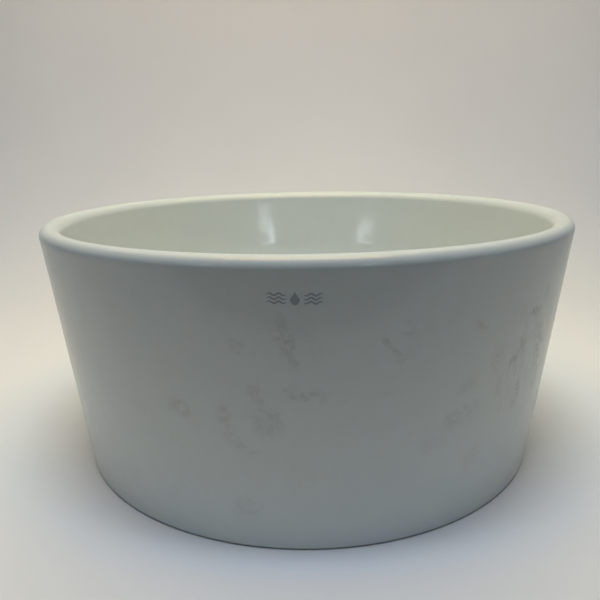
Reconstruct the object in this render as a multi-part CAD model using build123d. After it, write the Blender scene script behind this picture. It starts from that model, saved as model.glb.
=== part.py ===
"""Round countertop washbasin with its push-button waste, as separate pieces.

Row frame: millimetres, +Z up, origin at the centre of the foot ring, on the
plane the basin rests on.  +Z is the axis of the bowl and of the waste.
-Y is the front, the side the small printed mark faces.

The plug (ceramic cap, carrier, seal, lock nut, spindle) is drawn raised, the
open state in which the return spring holds it.  Pressing the cap down by
CAP_TRAVEL shuts it and turns the cam rotor by one step.
"""
import math
import os

from build123d import *

os.makedirs("parts", exist_ok=True)

# ---------------------------------------------------------------- ceramic bowl
RIM_D = 400.0            # outside diameter over the lip
HEIGHT = 180.0           # foot plane to the crest of the lip
BASE_D = 363.0           # outside wall line carried down to the foot plane
LIP_OUT_R = 6.0          # rounding of the lip on the outside
LIP_IN_R = 8.5           # rounding of the lip on the inside; the two meet at the crest
LIP_T = LIP_OUT_R + LIP_IN_R   # thickness of the lip
FOOT_ROUND = 2.0         # rounding between the wall and the foot ring
FOOT_INNER_R = 167.0     # inside radius of the foot ring
FOOT_INNER_ROUND = 2.5
SKIRT_SLOPE = math.tan(math.radians(6.1))   # inside of the skirt, parallel to the outside

WALL_IN_R = 170.6         # inside wall radius at WALL_IN_Z
WALL_IN_Z = 80.0
BOWL_FILLET = 68.0       # inside wall to floor
FLOOR_FALL = math.tan(math.radians(3.5))    # fall of the floor towards the waste
FLOOR_T = 12.0           # floor thickness
FLOOR_Z = 64.2           # floor level at the edge of the waste recess
RECESS_R = 33.0          # recess that takes the waste flange
RECESS_EDGE_R = 34.2
SEAT_Z = 60.0            # flange seat in the recess
DRAIN_HOLE_R = 22.75
BOSS_R = 44.0            # flat boss under the waste hole
BOSS_Z = 46.0
UNDER_FILLET = 16.0      # underside of the floor to the skirt

# ---------------------------------------------------------------- waste, G 1 1/4
G114_R = 20.955          # major radius of G 1 1/4
SHANK_R = 20.20          # the same thread above the trap's stretch, drawn at its pitch radius
TAIL_END_Z = 6.0         # lower end of the tail
BORE_R = 18.25
FLANGE_R = 31.0
FLANGE_TOP = 63.7
FLANGE_T = 2.2
MOUTH_R = 24.0           # mouth of the flange
MOUTH_Z = 57.6           # where the mouth has narrowed to the bore
HUB_R = 12.5             # threaded hub that carries the cartridge
HUB_Z0, HUB_Z1 = 41.0, 50.0
ARM_W = 3.0              # the four arms of the bridge
ARM_Z0, ARM_Z1 = 42.0, 49.0

GASKET_T = 1.5
SEAL_Z0, SEAL_Z1 = 41.0, 46.0
SEAL_NECK_Z = 49.5
WASHER_T = 1.0
NUT_AF = 50.0
NUT_T = 9.0
NUT_Z0 = SEAL_Z0 - WASHER_T - NUT_T       # lower face of the back nut

# ---------------------------------------------------------------- cartridge
CART_R = 8.0             # M16 x 1 barrel
CART_Z0, CART_Z1 = 22.0, 60.0
CART_COLLAR_R = 10.5
CART_COLLAR_AF = 18.0
CART_COLLAR_T = 3.2
CART_BORE_R = 6.0
GUIDE_Z0 = 55.0          # the spindle guide at the top of the barrel
SPINDLE_R = 4.0          # M8
RUNNING = 0.08           # radial clearance of a part that turns or slides in a bore
GROOVE_W, GROOVE_D = 1.6, 0.8     # the long grooves inside the barrel
SEAT_T = 3.0             # threaded spring seat that shuts the barrel

CAP_TRAVEL = 8.0         # stroke of the plug between open and shut
CROWN_Z1 = 54.8          # top of the spindle's crown, plug raised
CROWN_H = 5.0
PILOT_R = 2.0            # pin under the crown that carries the rotor
CROWN_R = 5.70
TEETH = 8
TOOTH_H = 1.2
ROTOR_H = 4.4
ROTOR_GAP = 0.3          # tooth tips of crown and rotor, apart
WIRE_R = 0.5
COIL_R = 4.2
COIL_TURNS = 7.0

# ---------------------------------------------------------------- plug, raised
CARRIER_R = 26.0
CARRIER_Z0 = 72.5
CARRIER_T = 3.0
LOCKNUT_AF = 13.0
LOCKNUT_T = 3.0
CAP_R = 34.0
CAP_Z0 = 73.2            # lower rim of the ceramic cap
CAP_EDGE_H = 6.4
CAP_CROWN = 2.4          # rise of the domed top
CAP_EDGE_ROUND = 2.6
CAP_POCKET_R = 28.2
SEAL_R_IN, SEAL_R_OUT = 22.5, 27.6
SEAL_DROP = 0.6          # rubber under the carrier
SPINDLE_TOP = 77.0


def tangent_point(px, pz, cx, cz, r, side):
    """Point where the line from (px, pz) touches the circle; side +1 is the outer one."""
    dx, dz = cx - px, cz - pz
    d = math.hypot(dx, dz)
    a = math.asin(r / d)
    base = math.atan2(dz, dx)
    ang = base - a if side > 0 else base + a
    length = d * math.cos(a)
    return px + length * math.cos(ang), pz + length * math.sin(ang)


def revolved(edges):
    """A solid from a closed chain of edges in the XZ plane."""
    face = make_face(edges)
    return revolve(face, Axis.Z, 360)


def line(a, b):
    return Line((a[0], 0, a[1]), (b[0], 0, b[1]))


def arc3(a, m, b):
    return ThreePointArc((a[0], 0, a[1]), (m[0], 0, m[1]), (b[0], 0, b[1]))


def fillet_between(p0, p1, p2, r):
    """Tangent points and mid point of an arc of radius r at corner p1."""
    v0 = (p0[0] - p1[0], p0[1] - p1[1])
    v2 = (p2[0] - p1[0], p2[1] - p1[1])
    l0, l2 = math.hypot(*v0), math.hypot(*v2)
    u0, u2 = (v0[0] / l0, v0[1] / l0), (v2[0] / l2, v2[1] / l2)
    half = math.acos(max(-1, min(1, u0[0] * u2[0] + u0[1] * u2[1]))) / 2
    t = r / math.tan(half)
    a = (p1[0] + u0[0] * t, p1[1] + u0[1] * t)
    b = (p1[0] + u2[0] * t, p1[1] + u2[1] * t)
    bx, bz = u0[0] + u2[0], u0[1] + u2[1]
    bl = math.hypot(bx, bz)
    c = (p1[0] + bx / bl * r / math.sin(half), p1[1] + bz / bl * r / math.sin(half))
    m = (c[0] - bx / bl * r, c[1] - bz / bl * r)
    return a, m, b


def ring_of(points, rounds=None):
    """Revolve a closed polygon of (radius, z); rounds maps a corner's index to its radius."""
    rounds = rounds or {}
    n = len(points)
    ends = {}
    for i, p in enumerate(points):
        if i in rounds:
            ends[i] = fillet_between(points[i - 1], p, points[(i + 1) % n], rounds[i])
        else:
            ends[i] = (p, None, p)
    edges = []
    for i in range(n):
        a, m, b = ends[i]
        if m is not None:
            edges.append(arc3(a, m, b))
        nxt = ends[(i + 1) % n][0]
        if math.hypot(nxt[0] - b[0], nxt[1] - b[1]) > 1e-7:
            edges.append(line(b, nxt))
    return revolved(edges)


def ring(r0, r1, z0, z1):
    """Plain ring, or a disc when r0 is 0."""
    body = Pos(0, 0, (z0 + z1) / 2) * Cylinder(r1, z1 - z0)
    if r0 > 0:
        body -= Pos(0, 0, (z0 + z1) / 2) * Cylinder(r0, z1 - z0 + 2)
    return body


def hex_prism(af, z0, z1):
    return Pos(0, 0, z0) * extrude(RegularPolygon(af / math.sqrt(3), 6), z1 - z0)


def save(shape, name):
    export_step(shape, f"parts/{name}.step")
    print(name, "volume", round(shape.volume, 1))


# ---------------------------------------------------------------- ceramic basin
crest = (RIM_D / 2 - LIP_OUT_R, HEIGHT)
lip_out_c = (crest[0], HEIGHT - LIP_OUT_R)
lip_in_c = (crest[0], HEIGHT - LIP_IN_R)
wall_out0 = (BASE_D / 2, 0.0)
t_out = tangent_point(*wall_out0, *lip_out_c, LIP_OUT_R, +1)
t_in = tangent_point(WALL_IN_R, WALL_IN_Z, *lip_in_c, LIP_IN_R, -1)


def on_arc(c, a, b):
    """Middle of the arc from a to b about c."""
    m = ((a[0] + b[0]) / 2 - c[0], (a[1] + b[1]) / 2 - c[1])
    k = math.hypot(a[0] - c[0], a[1] - c[1]) / math.hypot(*m)
    return (c[0] + m[0] * k, c[1] + m[1] * k)


# inside: wall line meets floor line at the corner that BOWL_FILLET rounds
in_dx = (t_in[0] - WALL_IN_R) / (t_in[1] - WALL_IN_Z)
k = WALL_IN_R - in_dx * WALL_IN_Z
corner_r = (k + in_dx * (FLOOR_Z - FLOOR_FALL * RECESS_EDGE_R)) / (1 - in_dx * FLOOR_FALL)
corner = (corner_r, FLOOR_Z + FLOOR_FALL * (corner_r - RECESS_EDGE_R))
floor_edge = (RECESS_EDGE_R, FLOOR_Z)

# underside: floor line meets the inside of the skirt
under_z0 = FLOOR_Z - FLOOR_T / math.cos(math.atan(FLOOR_FALL))
under_r = (FOOT_INNER_R + SKIRT_SLOPE * (under_z0 - FLOOR_FALL * RECESS_EDGE_R)) / (1 - SKIRT_SLOPE * FLOOR_FALL)
under_corner = (under_r, under_z0 + FLOOR_FALL * (under_r - RECESS_EDGE_R))
boss_top = (BOSS_R + 5.0, under_z0 + FLOOR_FALL * (BOSS_R + 5.0 - RECESS_EDGE_R))

foot_a, foot_m, foot_b = fillet_between((FOOT_INNER_R, 0), wall_out0, t_out, FOOT_ROUND)
bf_a, bf_m, bf_b = fillet_between(t_in, corner, floor_edge, BOWL_FILLET)
re_a, re_m, re_b = fillet_between(corner, floor_edge, (RECESS_R, SEAT_Z + 1.2), 1.2)
sk_a, sk_m, sk_b = fillet_between(boss_top, under_corner, (FOOT_INNER_R, 0), UNDER_FILLET)
bo_a, bo_m, bo_b = fillet_between((BOSS_R, BOSS_Z), boss_top, under_corner, 4.0)
bc_a, bc_m, bc_b = fillet_between((DRAIN_HOLE_R, BOSS_Z), (BOSS_R, BOSS_Z), boss_top, 2.0)
fi_a, fi_m, fi_b = fillet_between(under_corner, (FOOT_INNER_R, 0), wall_out0, FOOT_INNER_ROUND)

basin = revolved(
    [
        line(foot_b, t_out),
        arc3(t_out, on_arc(lip_out_c, t_out, crest), crest),
        arc3(crest, on_arc(lip_in_c, crest, t_in), t_in),
        line(t_in, bf_a),
        arc3(bf_a, bf_m, bf_b),
        line(bf_b, re_a),
        arc3(re_a, re_m, re_b),
        line(re_b, (RECESS_R, SEAT_Z)),
        line((RECESS_R, SEAT_Z), (DRAIN_HOLE_R, SEAT_Z)),
        line((DRAIN_HOLE_R, SEAT_Z), (DRAIN_HOLE_R, BOSS_Z)),
        line((DRAIN_HOLE_R, BOSS_Z), bc_a),
        arc3(bc_a, bc_m, bc_b),
        line(bc_b, bo_a),
        arc3(bo_a, bo_m, bo_b),
        line(bo_b, sk_a),
        arc3(sk_a, sk_m, sk_b),
        line(sk_b, fi_a),
        arc3(fi_a, fi_m, fi_b),
        line(fi_b, foot_a),
        arc3(foot_a, foot_m, foot_b),
    ]
)
print("inside wall ends z", round(bf_a[1], 2), "r", round(bf_a[0], 2), "floor fillet ends r", round(bf_b[0], 2), "z", round(bf_b[1], 2))
print("outer wall top tangent", [round(v, 3) for v in t_out], "inner", [round(v, 3) for v in t_in], "contact r", round(foot_a[0], 2))
save(basin, "ceramic_basin")

# ---------------------------------------------------------------- waste body
waste = ring_of(
    [
        (BORE_R, TAIL_END_Z),
        (G114_R - 1.2, TAIL_END_Z),
        (G114_R, TAIL_END_Z + 1.2),
        (G114_R, NUT_Z0),
        (SHANK_R, NUT_Z0),
        (SHANK_R, FLANGE_TOP - FLANGE_T),
        (FLANGE_R, FLANGE_TOP - FLANGE_T),
        (FLANGE_R, FLANGE_TOP),
        (MOUTH_R, FLANGE_TOP),
        (BORE_R + 0.9, MOUTH_Z + 2.2),
        (BORE_R, MOUTH_Z),
    ],
    {7: 1.0, 8: 1.2},
)
hub = ring(CART_R, HUB_R, HUB_Z0, HUB_Z1)
arms = []
for a in (45, 135, 225, 315):
    bar = Rot(0, 0, a) * Pos((HUB_R + BORE_R) / 2 + 0.15, 0, (ARM_Z0 + ARM_Z1) / 2) * Box(
        BORE_R - HUB_R + 1.3, ARM_W, ARM_Z1 - ARM_Z0
    )
    arms.append(bar)
waste = waste + hub
for bar in arms:
    waste = waste + bar
save(waste, "waste_body")

# ---------------------------------------------------------------- seals, washer, nut
save(ring(G114_R + 0.25, FLANGE_R + 0.4, SEAT_Z, SEAT_Z + GASKET_T), "flange_gasket")

tapered = ring_of(
    [
        (G114_R + 0.15, SEAL_Z0),
        (30.0, SEAL_Z0),
        (30.0, SEAL_Z1),
        (DRAIN_HOLE_R - 0.15, SEAL_Z1),
        (DRAIN_HOLE_R - 0.75, SEAL_NECK_Z),
        (G114_R + 0.15, SEAL_NECK_Z),
    ],
    {1: 0.8},
)
save(tapered, "tapered_seal")

washer_z1 = SEAL_Z0
washer_z0 = washer_z1 - WASHER_T
save(ring(G114_R + 0.25, 31.0, washer_z0, washer_z1), "slip_washer")

nut_z0, nut_z1 = NUT_Z0, NUT_Z0 + NUT_T
nut = hex_prism(NUT_AF, nut_z0, nut_z1)
cone = ring_of(
    [
        (0, nut_z0 - 1),
        (NUT_AF / 2 - 0.6, nut_z0 - 1),
        (NUT_AF / 2 + 4.6, nut_z0 + 2.3),
        (NUT_AF / 2 + 4.6, nut_z1 - 2.3),
        (NUT_AF / 2 - 0.6, nut_z1 + 1),
        (0, nut_z1 + 1),
    ]
)
nut = nut & cone
nut -= Pos(0, 0, (nut_z0 + nut_z1) / 2) * Cylinder(SHANK_R + 0.05, NUT_T + 4)
save(nut, "backnut")

# ---------------------------------------------------------------- cartridge barrel
collar_z0 = HUB_Z1
barrel = ring_of(
    [
        (CART_BORE_R, CART_Z0),
        (CART_R - 0.6, CART_Z0),
        (CART_R, CART_Z0 + 0.6),
        (CART_R, collar_z0),
        (CART_COLLAR_R, collar_z0),
        (CART_COLLAR_R, collar_z0 + CART_COLLAR_T),
        (CART_R, collar_z0 + CART_COLLAR_T),
        (CART_R, CART_Z1),
        (SPINDLE_R + RUNNING, CART_Z1),
        (SPINDLE_R + RUNNING, GUIDE_Z0),
        (CART_BORE_R, GUIDE_Z0),
    ],
    {7: 0.8},
)
for s in (1, -1):
    barrel -= Pos(0, s * (CART_COLLAR_AF / 2 + 2), collar_z0 + CART_COLLAR_T / 2 + 0.01) * Box(30, 4, CART_COLLAR_T + 0.02)
for i in range(4):
    barrel -= Rot(0, 0, i * 90) * Pos(CART_BORE_R + GROOVE_D / 2 - 0.2, 0, (CART_Z0 + SEAT_T + GUIDE_Z0) / 2 + 1.5) * Box(
        GROOVE_D + 0.4, GROOVE_W, GUIDE_Z0 - CART_Z0 - SEAT_T - 3
    )
save(barrel, "cartridge_barrel")

seat = ring(1.6, CART_BORE_R - 0.02, CART_Z0 + 0.2, CART_Z0 + SEAT_T)
seat -= Pos(0, 0, CART_Z0 + 0.2) * Box(9.0, 1.2, 1.6)
save(seat, "spring_seat")


# ---------------------------------------------------------------- crown teeth and rotor
def teeth_ring(r_in, r_out, z_tip, z_root, count, up):
    """A ring of ramp teeth.  Each tooth is a wedge: straight flank and a ramp."""
    out = None
    step = 360.0 / count
    h = abs(z_tip - z_root)
    mid = (r_in + r_out) / 2
    width = 2 * math.pi * mid / count * 0.86
    for i in range(count):
        if up:
            pts = [(-width / 2, 0), (width / 2, 0), (width / 2, h)]
        else:
            pts = [(-width / 2, 0), (width / 2, 0), (width / 2, -h)]
        tri = Plane.YZ * make_face(Polyline(*pts, close=True))
        wedge = extrude(tri, r_out - r_in + 1.0)
        wedge = Rot(0, 0, i * step) * Pos(r_in - 0.2, 0, z_root) * wedge
        out = wedge if out is None else out + wedge
    lo, hi = min(z_tip, z_root) - 1, max(z_tip, z_root) + 1
    return out & ring(r_in, r_out, lo, hi)


crown_z0 = CROWN_Z1 - CROWN_H
crown_root = crown_z0 + TOOTH_H
crown = ring(0, CROWN_R, crown_root, CROWN_Z1)
crown = crown + teeth_ring(3.4, CROWN_R, crown_z0, crown_root, TEETH, up=False)
spindle = crown + ring(0, SPINDLE_R, CROWN_Z1 - 0.5, SPINDLE_TOP)
spindle = spindle - (
    ring(0, SPINDLE_R + 1, SPINDLE_TOP - 0.8, SPINDLE_TOP + 0.1)
    - Pos(0, 0, SPINDLE_TOP - 0.4) * Cone(SPINDLE_R, SPINDLE_R - 0.8, 0.8)
)
# the pilot that keeps the rotor on the axis
spindle = spindle + ring(0, PILOT_R, crown_z0 - 3.0, crown_root + 0.5)
for i in range(4):
    key = Rot(0, 0, i * 90) * Pos(CROWN_R + 0.2, 0, CROWN_Z1 - 1.8) * Box(1.2, GROOVE_W - 0.3, 3.2)
    spindle = spindle + key
save(spindle, "spindle")

rotor_tip = crown_z0 - ROTOR_GAP
rotor_root = rotor_tip - TOOTH_H
rotor_z0 = rotor_tip - ROTOR_H
rotor = ring(PILOT_R + RUNNING, CROWN_R, rotor_z0, rotor_root)
rotor = rotor + teeth_ring(3.4, CROWN_R, rotor_tip, rotor_root, TEETH, up=True)
rotor = rotor + ring(PILOT_R + RUNNING, 3.2, rotor_z0 - 6.0, rotor_z0 + 0.5)
save(rotor, "cam_rotor")

# ---------------------------------------------------------------- return spring
spring_z0 = CART_Z0 + SEAT_T
spring_z1 = rotor_z0
END_TURNS, END_PITCH = 1.0, 2 * WIRE_R + 0.12      # closed end coils
coil_h = spring_z1 - spring_z0 - WIRE_R            # centre line; the ends are ground flat
active_pitch = (coil_h - 2 * END_TURNS * END_PITCH) / (COIL_TURNS - 2 * END_TURNS)


def coil_rise(turn):
    """Height of the coil's centre line after so many turns, easing between the pitches."""
    steps = 200
    total = 0.0
    for i in range(steps):
        t = (i + 0.5) / steps * turn
        edge = min(t, COIL_TURNS - t)
        w = min(1.0, max(0.0, (edge - END_TURNS + 0.2) / 0.4))
        w = w * w * (3 - 2 * w)
        total += (END_PITCH + (active_pitch - END_PITCH) * w) * turn / steps
    return total


per_turn = 16
count = int(COIL_TURNS * per_turn)
full_rise = coil_rise(COIL_TURNS)
coil_pts = []
for i in range(count + 1):
    t = i / per_turn
    ang = 2 * math.pi * t
    z = spring_z0 + WIRE_R / 2 + coil_h * coil_rise(t) / full_rise
    coil_pts.append((COIL_R * math.cos(ang), COIL_R * math.sin(ang), z))
path = Spline(*coil_pts)
section = Plane(origin=path @ 0, z_dir=path % 0) * Circle(WIRE_R)
spring = sweep(section, path, is_frenet=True)
spring = spring & ring(0, COIL_R + 2, spring_z0, spring_z1)
save(spring, "return_spring")
print("spring", round(spring_z0, 2), round(spring_z1, 2), "shut length", round(spring_z1 - spring_z0 - CAP_TRAVEL, 2))

# ---------------------------------------------------------------- plug, raised
save(ring(SPINDLE_R + 0.02, CARRIER_R, CARRIER_Z0, CARRIER_Z0 + CARRIER_T), "cap_carrier")

jam = hex_prism(LOCKNUT_AF, CARRIER_Z0 - LOCKNUT_T, CARRIER_Z0)
jam_cone = ring_of(
    [
        (0, CARRIER_Z0 - LOCKNUT_T - 0.5),
        (LOCKNUT_AF / 2 - 0.9, CARRIER_Z0 - LOCKNUT_T - 0.5),
        (LOCKNUT_AF / 2 + 1.3, CARRIER_Z0 - LOCKNUT_T + 0.9),
        (LOCKNUT_AF / 2 + 1.3, CARRIER_Z0 + 0.5),
        (0, CARRIER_Z0 + 0.5),
    ]
)
jam = (jam & jam_cone) - Pos(0, 0, CARRIER_Z0 - LOCKNUT_T / 2) * Cylinder(SPINDLE_R + 0.02, LOCKNUT_T + 2)
save(jam, "lock_nut")

lip_seal = ring_of(
    [
        (SEAL_R_IN, CARRIER_Z0 - SEAL_DROP),
        (SEAL_R_OUT, CARRIER_Z0 - SEAL_DROP),
        (SEAL_R_OUT, CARRIER_Z0 + CARRIER_T),
        (CARRIER_R + 0.02, CARRIER_Z0 + CARRIER_T),
        (CARRIER_R + 0.02, CARRIER_Z0),
        (SEAL_R_IN, CARRIER_Z0),
    ],
    {1: 0.9},
)
save(lip_seal, "cap_seal")

cap_top_edge = CAP_Z0 + CAP_EDGE_H
pocket_z = CARRIER_Z0 + CARRIER_T
# domed top: an arc from the axis to the rounded edge
dome_end = (CAP_R - CAP_EDGE_ROUND, cap_top_edge)
dome_top = (0.0, cap_top_edge + CAP_CROWN)
sag_mid = ((CAP_R - CAP_EDGE_ROUND) / 2, cap_top_edge + CAP_CROWN * 0.752)
edge_mid = (
    CAP_R - CAP_EDGE_ROUND + CAP_EDGE_ROUND * math.sin(math.radians(45)),
    cap_top_edge - CAP_EDGE_ROUND + CAP_EDGE_ROUND * math.cos(math.radians(45)),
)
cap = revolved(
    [
        line((0.0, SPINDLE_TOP + 0.6), dome_top),
        arc3(dome_top, sag_mid, dome_end),
        arc3(dome_end, edge_mid, (CAP_R, cap_top_edge - CAP_EDGE_ROUND)),
        line((CAP_R, cap_top_edge - CAP_EDGE_ROUND), (CAP_R, CAP_Z0 + 1.0)),
        arc3((CAP_R, CAP_Z0 + 1.0), (CAP_R - 0.2929, CAP_Z0 + 0.2929), (CAP_R - 1.0, CAP_Z0)),
        line((CAP_R - 1.0, CAP_Z0), (CAP_POCKET_R, CAP_Z0)),
        line((CAP_POCKET_R, CAP_Z0), (CAP_POCKET_R, pocket_z)),
        line((CAP_POCKET_R, pocket_z), (5.2, pocket_z)),
        line((5.2, pocket_z), (5.2, SPINDLE_TOP + 0.6)),
        line((5.2, SPINDLE_TOP + 0.6), (0.0, SPINDLE_TOP + 0.6)),
    ]
)
save(cap, "ceramic_cap")
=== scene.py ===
import math

import bmesh
import bpy
import numpy as np
from mathutils import Matrix, Vector, noise


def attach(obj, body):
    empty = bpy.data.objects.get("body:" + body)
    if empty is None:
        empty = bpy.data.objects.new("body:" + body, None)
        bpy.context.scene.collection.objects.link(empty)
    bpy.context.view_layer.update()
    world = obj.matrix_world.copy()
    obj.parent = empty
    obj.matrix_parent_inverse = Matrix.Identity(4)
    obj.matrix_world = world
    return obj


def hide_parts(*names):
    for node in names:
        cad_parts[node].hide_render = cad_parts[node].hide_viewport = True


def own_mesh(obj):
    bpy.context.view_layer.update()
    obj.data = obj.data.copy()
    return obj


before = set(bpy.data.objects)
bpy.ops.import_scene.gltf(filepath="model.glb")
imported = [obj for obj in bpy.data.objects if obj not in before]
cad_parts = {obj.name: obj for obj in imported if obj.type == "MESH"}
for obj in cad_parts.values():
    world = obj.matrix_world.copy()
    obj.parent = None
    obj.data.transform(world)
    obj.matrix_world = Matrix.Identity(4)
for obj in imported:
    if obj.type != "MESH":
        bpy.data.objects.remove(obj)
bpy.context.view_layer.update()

MM = 0.001
scene = bpy.context.scene
scene.view_settings.view_transform = "Standard"
scene.view_settings.look = "None"

# ------------------------------------------------------------------ the basin's profile, mm
RIM_D, HEIGHT, BASE_D = 400.0, 180.0, 363.0
LIP_OUT_R, LIP_IN_R = 6.0, 8.5
FOOT_ROUND, FOOT_INNER_R, FOOT_INNER_ROUND = 2.0, 167.0, 2.5
SKIRT_SLOPE = math.tan(math.radians(6.1))
WALL_IN_R, WALL_IN_Z, BOWL_FILLET = 170.6, 80.0, 68.0
FLOOR_FALL, FLOOR_T, FLOOR_Z = math.tan(math.radians(3.5)), 12.0, 64.2
RECESS_R, RECESS_EDGE_R, SEAT_Z = 33.0, 34.2, 60.0
DRAIN_HOLE_R, BOSS_R, BOSS_Z, UNDER_FILLET = 22.75, 44.0, 46.0, 16.0


def tangent_point(px, pz, cx, cz, r, side):
    dx, dz = cx - px, cz - pz
    d = math.hypot(dx, dz)
    a = math.asin(r / d)
    ang = math.atan2(dz, dx) + (-a if side > 0 else a)
    length = d * math.cos(a)
    return px + length * math.cos(ang), pz + length * math.sin(ang)


def rounded(p0, p1, p2, r, n):
    """Points along an arc of radius r that rounds the corner p1, both ends included."""
    v0 = np.subtract(p0, p1)
    v2 = np.subtract(p2, p1)
    u0, u2 = v0 / np.linalg.norm(v0), v2 / np.linalg.norm(v2)
    half = math.acos(max(-1, min(1, float(u0 @ u2)))) / 2
    b = (u0 + u2) / np.linalg.norm(u0 + u2)
    c = np.array(p1) + b * r / math.sin(half)
    a = np.array(p1) + u0 * r / math.tan(half)
    e = np.array(p1) + u2 * r / math.tan(half)
    return arc(c, a, e, n)


def arc(c, a, e, n):
    """Points from a to e on the circle about c, the short way round."""
    c, a, e = np.array(c, float), np.array(a, float), np.array(e, float)
    t0 = math.atan2(*(a - c)[::-1])
    t1 = math.atan2(*(e - c)[::-1])
    d = (t1 - t0 + math.pi) % (2 * math.pi) - math.pi
    r = np.linalg.norm(a - c)
    return [(c[0] + r * math.cos(t0 + d * i / n), c[1] + r * math.sin(t0 + d * i / n)) for i in range(n + 1)]


def run(a, b, n):
    """Points strictly between a and b."""
    return [(a[0] + (b[0] - a[0]) * i / n, a[1] + (b[1] - a[1]) * i / n) for i in range(1, n)]


def basin_profile():
    """Closed loop of (radius, z, zone): 0 glazed outside, 1 lip, 2 inside, 3 underside, 4 foot."""
    lip_top = (RIM_D / 2 - LIP_OUT_R, HEIGHT)
    oc, ic = (lip_top[0], HEIGHT - LIP_OUT_R), (lip_top[0], HEIGHT - LIP_IN_R)
    w0 = (BASE_D / 2, 0.0)
    t_out = tangent_point(*w0, *oc, LIP_OUT_R, +1)
    t_in = tangent_point(WALL_IN_R, WALL_IN_Z, *ic, LIP_IN_R, -1)
    in_dx = (t_in[0] - WALL_IN_R) / (t_in[1] - WALL_IN_Z)
    k = WALL_IN_R - in_dx * WALL_IN_Z
    corner_r = (k + in_dx * (FLOOR_Z - FLOOR_FALL * RECESS_EDGE_R)) / (1 - in_dx * FLOOR_FALL)
    corner = (corner_r, FLOOR_Z + FLOOR_FALL * (corner_r - RECESS_EDGE_R))
    edge = (RECESS_EDGE_R, FLOOR_Z)
    uz = FLOOR_Z - FLOOR_T / math.cos(math.atan(FLOOR_FALL))
    ur = (FOOT_INNER_R + SKIRT_SLOPE * (uz - FLOOR_FALL * RECESS_EDGE_R)) / (1 - SKIRT_SLOPE * FLOOR_FALL)
    uc = (ur, uz + FLOOR_FALL * (ur - RECESS_EDGE_R))
    bt = (BOSS_R + 5.0, uz + FLOOR_FALL * (BOSS_R + 5.0 - RECESS_EDGE_R))
    foot_out = rounded((FOOT_INNER_R, 0), w0, t_out, FOOT_ROUND, 12)
    lip = arc(oc, t_out, lip_top, 20) + arc(ic, lip_top, t_in, 22)[1:]
    bowl = rounded(t_in, corner, edge, BOWL_FILLET, 40)
    recess = rounded(corner, edge, (RECESS_R, SEAT_Z + 1.2), 1.2, 6)
    boss_top = rounded((BOSS_R, BOSS_Z), bt, uc, 4.0, 6)
    boss_low = rounded((DRAIN_HOLE_R, BOSS_Z), (BOSS_R, BOSS_Z), bt, 2.0, 6)
    skirt = rounded(bt, uc, (FOOT_INNER_R, 0), UNDER_FILLET, 14)
    foot_in = rounded(uc, (FOOT_INNER_R, 0), w0, FOOT_INNER_ROUND, 6)
    loop = []

    def add(pts, zone):
        loop.extend((p[0], p[1], zone) for p in pts)

    add(foot_out, 0)
    add(run(foot_out[-1], t_out, 60), 0)
    add(lip, 1)
    add(run(t_in, bowl[0], 16), 2)
    add(bowl, 2)
    add(run(bowl[-1], recess[0], 26), 2)
    add(recess, 2)
    add([(RECESS_R, SEAT_Z + 0.6), (RECESS_R, SEAT_Z)], 2)
    add(run((RECESS_R, SEAT_Z), (DRAIN_HOLE_R, SEAT_Z), 4), 2)
    add([(DRAIN_HOLE_R, SEAT_Z)], 3)
    add(run((DRAIN_HOLE_R, SEAT_Z), (DRAIN_HOLE_R, BOSS_Z), 5), 3)
    add([(DRAIN_HOLE_R, BOSS_Z)], 3)
    add(run((DRAIN_HOLE_R, BOSS_Z), boss_low[0], 6), 3)
    add(boss_low, 3)
    add(boss_top, 3)
    add(run(boss_top[-1], skirt[0], 26), 3)
    add(skirt, 3)
    add(run(skirt[-1], foot_in[0], 16), 3)
    add(foot_in, 4)
    add(run(foot_in[-1], foot_out[0], 4), 4)
    return loop


# ------------------------------------------------------------------ mesh helpers
def new_mesh(name, verts, faces, smooth_angle=35.0, mat_index=None, closed=True):
    me = bpy.data.meshes.new(name)
    me.from_pydata([tuple(v) for v in verts], [], faces)
    me.validate()
    if closed:
        bm = bmesh.new()
        bm.from_mesh(me)
        bmesh.ops.recalc_face_normals(bm, faces=bm.faces)
        bm.to_mesh(me)
        bm.free()
    me.polygons.foreach_set("use_smooth", [True] * len(me.polygons))
    if mat_index is not None:
        me.polygons.foreach_set("material_index", mat_index)
    me.update()
    if smooth_angle < 180:
        me.set_sharp_from_angle(angle=math.radians(smooth_angle))
    ob = bpy.data.objects.new(name, me)
    scene.collection.objects.link(ob)
    return ob


def grid_faces(rows, segs, close_rows, close_segs=True):
    faces = []
    rr = rows if close_rows else rows - 1
    ss = segs if close_segs else segs - 1
    for i in range(rr):
        a, b = i * segs, ((i + 1) % rows) * segs
        for j in range(ss):
            k = (j + 1) % segs
            faces.append((a + j, a + k, b + k, b + j))
    return faces


def lathe(name, profile, segs, smooth_angle=35.0, radial=None, phase=0.0):
    """Revolves a closed loop of (r, z) in mm.  radial(r, z, angle) may return a changed (r, z)."""
    verts = []
    for p in profile:
        r, z = p[0], p[1]
        for j in range(segs):
            a = 2 * math.pi * j / segs + phase
            q, w = (r, z) if radial is None else radial(r, z, a)
            verts.append((q * math.cos(a) * MM, q * math.sin(a) * MM, w * MM))
    return new_mesh(name, verts, grid_faces(len(profile), segs, True), smooth_angle)


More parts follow.
